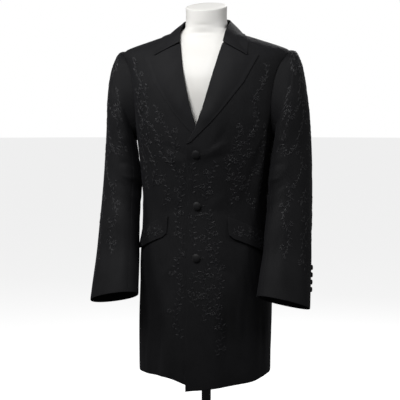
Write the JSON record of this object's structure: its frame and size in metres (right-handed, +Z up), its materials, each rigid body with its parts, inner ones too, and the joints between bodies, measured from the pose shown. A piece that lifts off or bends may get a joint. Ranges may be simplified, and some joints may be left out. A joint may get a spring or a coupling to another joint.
{
  "type": "long blazer on a torso form",
  "caption": "Long single-breasted blazer with peak lapels, slanted pocket flaps and open sleeves, worn by a limbless torso form on a pole with a round base.",
  "frame": {"origin": "on the floor, at the middle of the stand base's underside", "axes": "+Z up, the wearer faces -Y, the wearer's left is +X"},
  "size_m": [0.5824, 0.34, 1.5132],
  "materials": {
    "cloth": "matte black wool with a raised tone-on-tone pattern",
    "facing_cloth": "plain matte black wool, slightly lighter",
    "button": "satin black",
    "form": "satin white",
    "stand": "satin black"
  },
  "bodies": {
    "root": {"front_left": "cloth", "side_body_left": "cloth", "back_left": "cloth", "top_sleeve_left": "cloth", "under_sleeve_left": "cloth", "lapel_left": "facing_cloth", "pocket_flap_left": "cloth", "cuff_button_left_1": "button", "cuff_button_left_2": "button", "cuff_button_left_3": "button", "cuff_button_left_4": "button", "front_right": "cloth", "side_body_right": "cloth", "back_right": "cloth", "top_sleeve_right": "cloth", "under_sleeve_right": "cloth", "lapel_right": "facing_cloth", "pocket_flap_right": "cloth", "cuff_button_right_1": "button", "cuff_button_right_2": "button", "cuff_button_right_3": "button", "cuff_button_right_4": "button", "collar_leaf": "facing_cloth", "collar_stand": "facing_cloth", "front_button_1": "button", "front_button_2": "button", "front_button_3": "button", "form_torso": "form", "stand_pole": "stand", "stand_base": "stand"}
  },
  "joints": []
}
